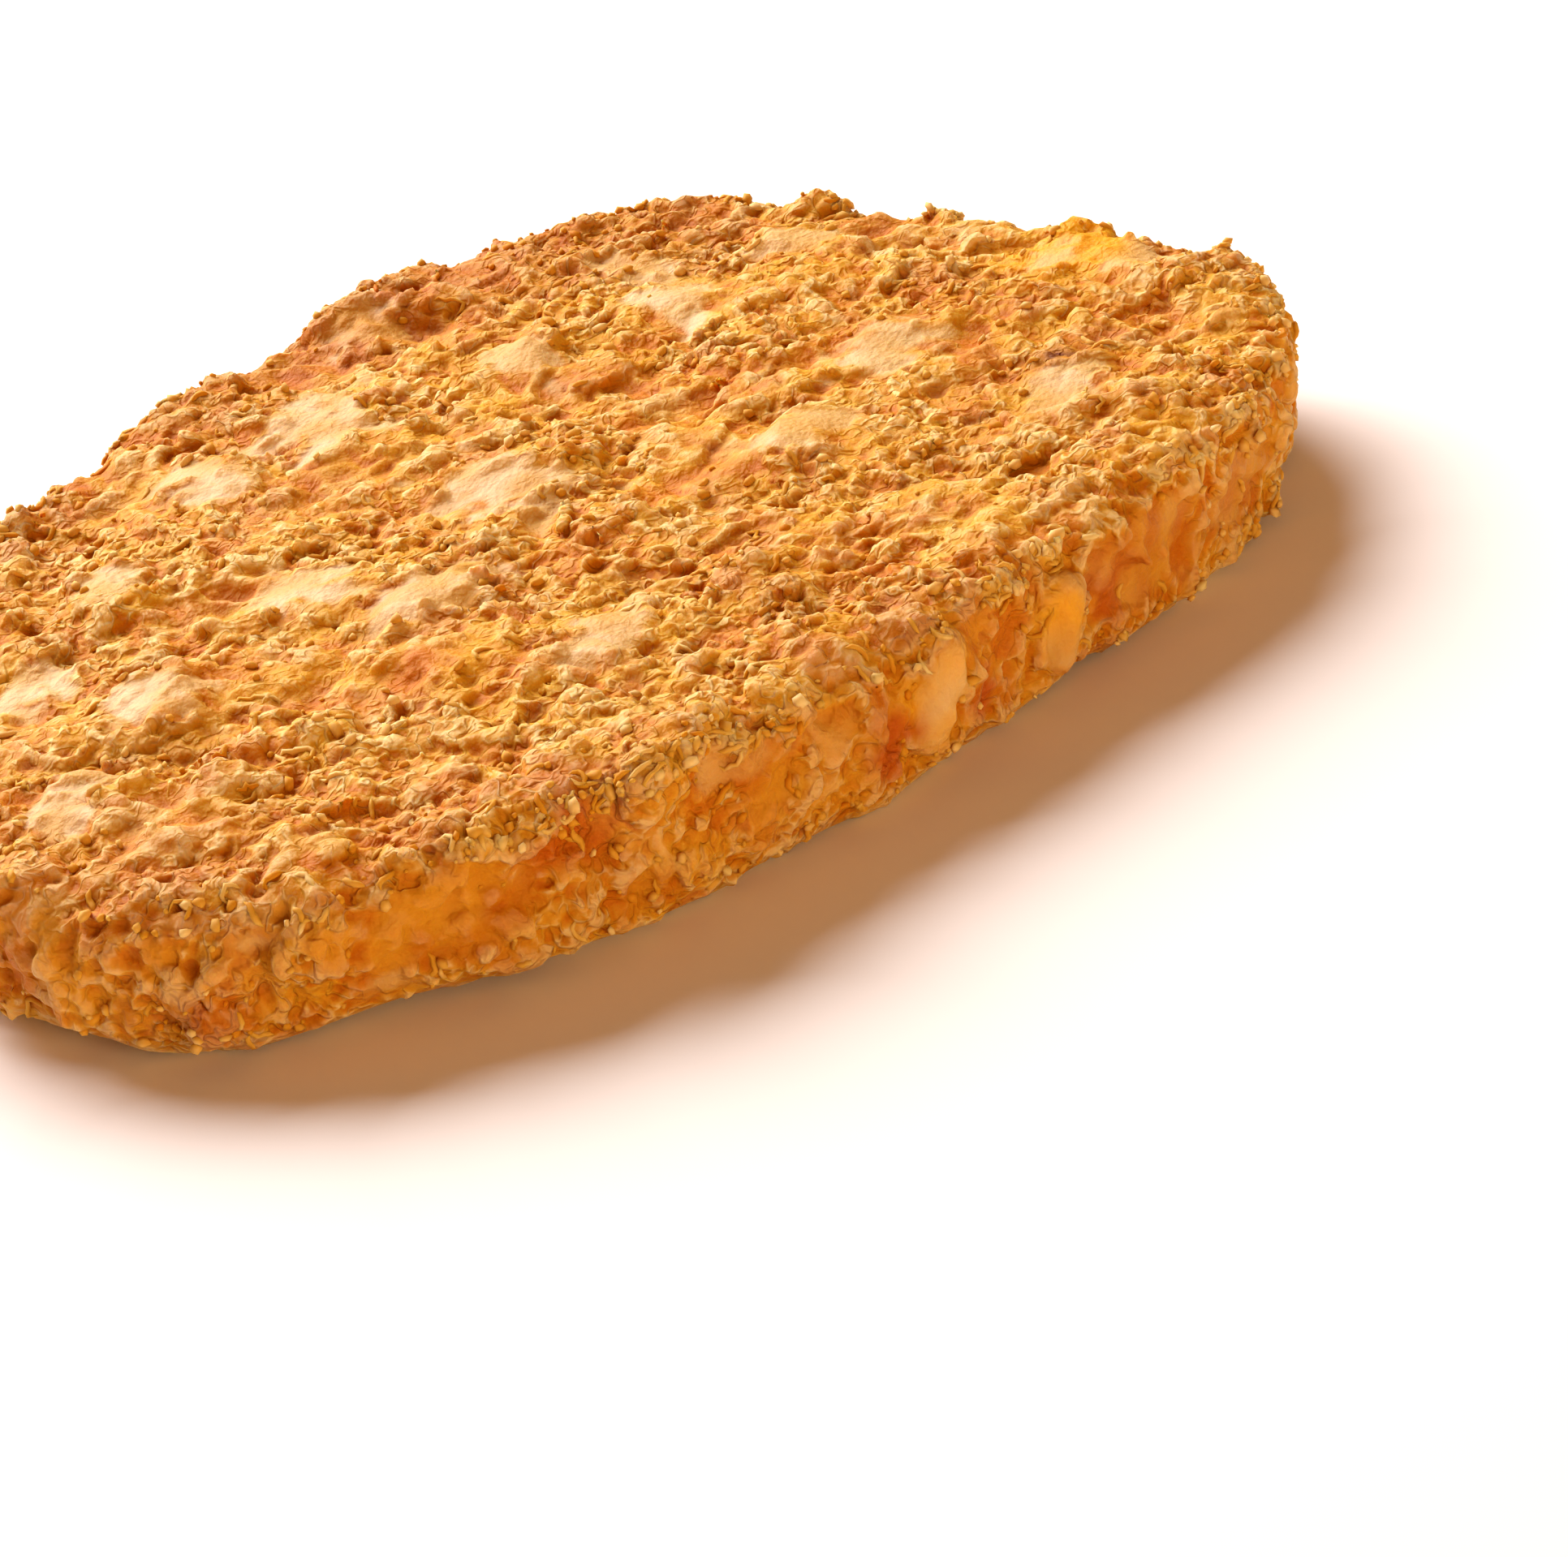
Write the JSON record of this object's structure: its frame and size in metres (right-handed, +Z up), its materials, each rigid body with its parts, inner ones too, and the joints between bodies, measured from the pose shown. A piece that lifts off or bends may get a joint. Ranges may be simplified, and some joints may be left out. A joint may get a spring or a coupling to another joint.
{
  "type": "potato rosti",
  "caption": "Oval fried patty of shredded potato with a rough golden crust, lying flat.",
  "frame": {"origin": "middle of the footprint's box, on the plane that the patty rests on", "axes": "+X along the patty towards its blunter end, +Y across it, +Z up out of the shown face"},
  "size_m": [0.1046, 0.078, 0.0132],
  "materials": {
    "fried_potato": "crisp golden-brown fried crust with paler bare potato flakes, dry and slightly oily"
  },
  "bodies": {
    "root": {"rosti": "fried_potato"}
  },
  "joints": []
}
